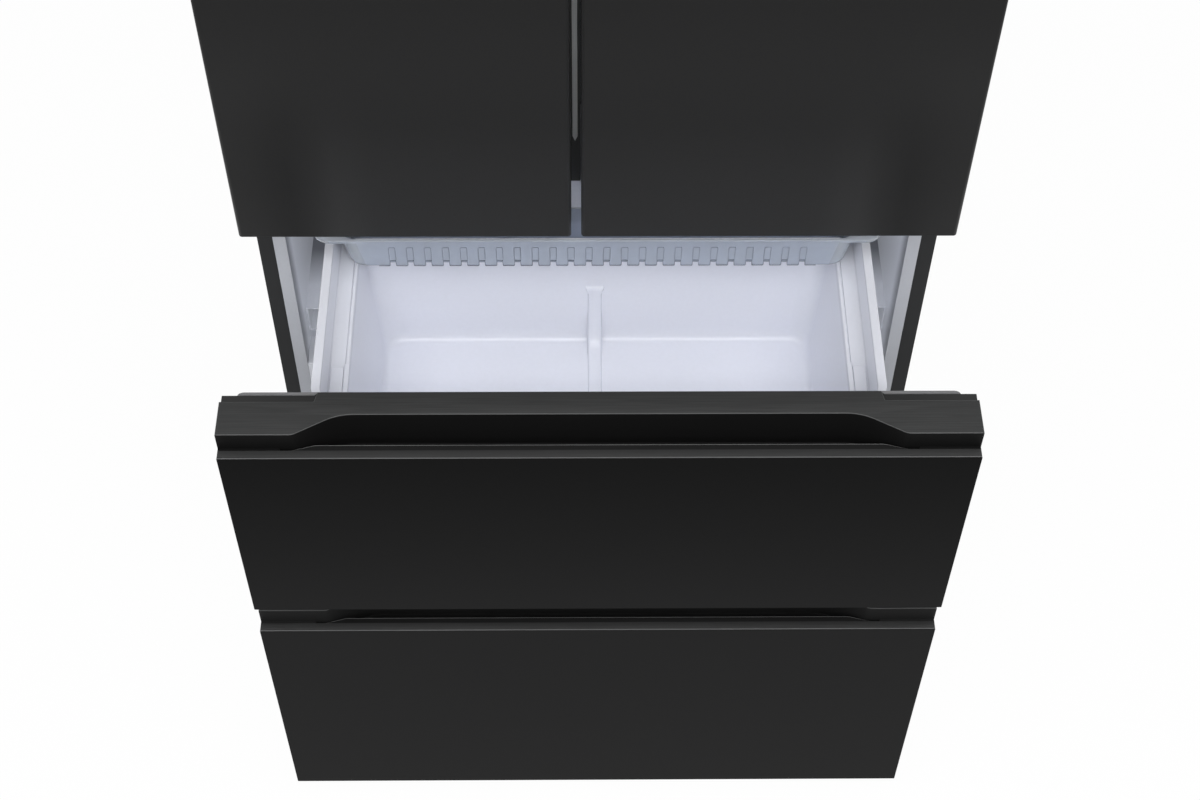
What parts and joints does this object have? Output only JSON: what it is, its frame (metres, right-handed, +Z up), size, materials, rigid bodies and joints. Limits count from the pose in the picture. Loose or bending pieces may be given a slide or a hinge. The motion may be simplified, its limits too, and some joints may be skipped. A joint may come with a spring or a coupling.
{
  "type": "multi-door refrigerator",
  "caption": "Tall dark refrigerator with side-by-side hinged doors above stacked pull-out freezer drawers, shown with the drawers drawn open to their bins.",
  "frame": {"origin": "on the floor, at the middle of the space taken with both drawers drawn open as in the picture", "axes": "+Z up, +X to the right of someone facing the doors, +Y from the doors to the back"},
  "size_m": [0.796, 1, 1.742],
  "materials": {
    "graphite_steel": "satin, fine brushed",
    "brushed_dark": "brushed along its length",
    "shell_grey": "satin",
    "zinc_steel": "plain",
    "slide_steel": "plain",
    "liner_white": "smooth",
    "trim_grey": "smooth",
    "bin_white": "smooth",
    "clear_plastic": "clear",
    "shelf_glass": "clear",
    "seal_grey": "matt",
    "foam": "foam",
    "black_plastic": "matt",
    "strip_grey": "satin",
    "fin_alloy": "bare",
    "compressor_black": "satin",
    "lamp_lens": "frosted",
    "tread_rubber": "matt"
  },
  "bodies": {
    "cabinet": {"air_duct": "liner_white", "back_panel": "zinc_steel", "base_plate": "zinc_steel", "cabinet_shell": "shell_grey", "cabinet_slides": "slide_steel", "ceiling_light": "lamp_lens", "compressor": "compressor_black", "condenser": "fin_alloy", "fan_bracket": "zinc_steel", "divider_trim": "trim_grey", "door_hinges": "zinc_steel", "drawer_rail": "liner_white", "evaporator": "fin_alloy", "evaporator_cover": "liner_white", "foam_core": "foam", "freezer_liner": "liner_white", "fridge_liner": "liner_white", "glass_shelves": "shelf_glass", "hinge_covers": "black_plastic", "levelling_feet": "tread_rubber", "machine_cover": "zinc_steel", "roller_forks": "zinc_steel", "shelf_trims": "trim_grey", "toe_grille": "black_plastic"},
    "left_door": {"left_door_skin": "graphite_steel", "left_door_caps": "black_plastic", "left_door_foam": "foam", "left_door_liner": "liner_white", "left_door_gasket": "seal_grey", "left_door_bins": "clear_plastic", "flip_bar_brackets": "zinc_steel"},
    "flip_bar": {"flip_bar": "black_plastic", "flip_bar_strip": "strip_grey"},
    "right_door": {"right_door_skin": "graphite_steel", "right_door_caps": "black_plastic", "right_door_foam": "foam", "right_door_liner": "liner_white", "right_door_gasket": "seal_grey", "right_door_bins": "clear_plastic"},
    "upper_drawer": {"upper_front_panel": "graphite_steel", "upper_handle_cap": "brushed_dark", "upper_front_foam": "foam", "upper_front_liner": "liner_white", "upper_front_gasket": "seal_grey", "upper_bin": "bin_white", "upper_drawer_slides": "slide_steel"},
    "upper_tray": {"upper_tray": "clear_plastic"},
    "upper_middle_slides": {"upper_middle_slides": "slide_steel"},
    "lower_drawer": {"lower_front_panel": "graphite_steel", "lower_handle_cap": "brushed_dark", "lower_front_foam": "foam", "lower_front_liner": "liner_white", "lower_front_gasket": "seal_grey", "lower_bin": "bin_white", "lower_drawer_slides": "slide_steel"},
    "lower_middle_slides": {"lower_middle_slides": "slide_steel"},
    "left_crisper": {"left_crisper": "clear_plastic"},
    "right_crisper": {"right_crisper": "clear_plastic"},
    "condenser_fan": {"condenser_fan": "black_plastic"},
    "rear_rollers": {"rear_rollers": "tread_rubber"}
  },
  "joints": [
    {"name": "left_door_swing", "type": "hinge", "parent": "cabinet", "child": "left_door", "pos_m": [-0.386, -0.193, 0.81], "axis": [0, 0, -1], "range_deg": [0, 115]},
    {"name": "right_door_swing", "type": "hinge", "parent": "cabinet", "child": "right_door", "pos_m": [0.386, -0.193, 0.81], "axis": [0, 0, 1], "range_deg": [0, 115]},
    {"name": "flip_bar_fold", "type": "hinge", "parent": "left_door", "child": "flip_bar", "pos_m": [-0.0633, -0.1357, 0.836], "axis": [0, 0, 1], "range_deg": [0, 86.25]},
    {"name": "upper_drawer_pull", "type": "slide", "parent": "cabinet", "child": "upper_drawer", "axis": [0, -1, 0], "range_m": [-0.277, 0.1]},
    {"name": "upper_middle_pull", "type": "slide", "parent": "cabinet", "child": "upper_middle_slides", "axis": [0, -1, 0], "range_m": [-0.1385, 0.05]},
    {"name": "upper_tray_pull", "type": "slide", "parent": "upper_drawer", "child": "upper_tray", "axis": [0, -1, 0], "range_m": [0, 0.19]},
    {"name": "lower_drawer_pull", "type": "slide", "parent": "cabinet", "child": "lower_drawer", "axis": [0, -1, 0], "range_m": [-0.277, 0.1]},
    {"name": "lower_middle_pull", "type": "slide", "parent": "cabinet", "child": "lower_middle_slides", "axis": [0, -1, 0], "range_m": [-0.1385, 0.05]},
    {"name": "left_crisper_pull", "type": "slide", "parent": "cabinet", "child": "left_crisper", "axis": [0, -1, 0], "range_m": [0, 0.085]},
    {"name": "right_crisper_pull", "type": "slide", "parent": "cabinet", "child": "right_crisper", "axis": [0, -1, 0], "range_m": [0, 0.085]},
    {"name": "condenser_fan_spin", "type": "hinge", "parent": "cabinet", "child": "condenser_fan", "pos_m": [-0.13, 0.3825, 0.105], "axis": [1, 0, 0], "continuous": true},
    {"name": "rear_rollers_roll", "type": "hinge", "parent": "cabinet", "child": "rear_rollers", "pos_m": [0, 0.44, 0.013], "axis": [1, 0, 0], "continuous": true}
  ],
  "couplings": [
    {"joint": "flip_bar_fold", "follows": "left_door_swing", "ratio": 0.75},
    {"joint": "upper_middle_pull", "follows": "upper_drawer_pull", "ratio": 0.5},
    {"joint": "lower_middle_pull", "follows": "lower_drawer_pull", "ratio": 0.5}
  ]
}
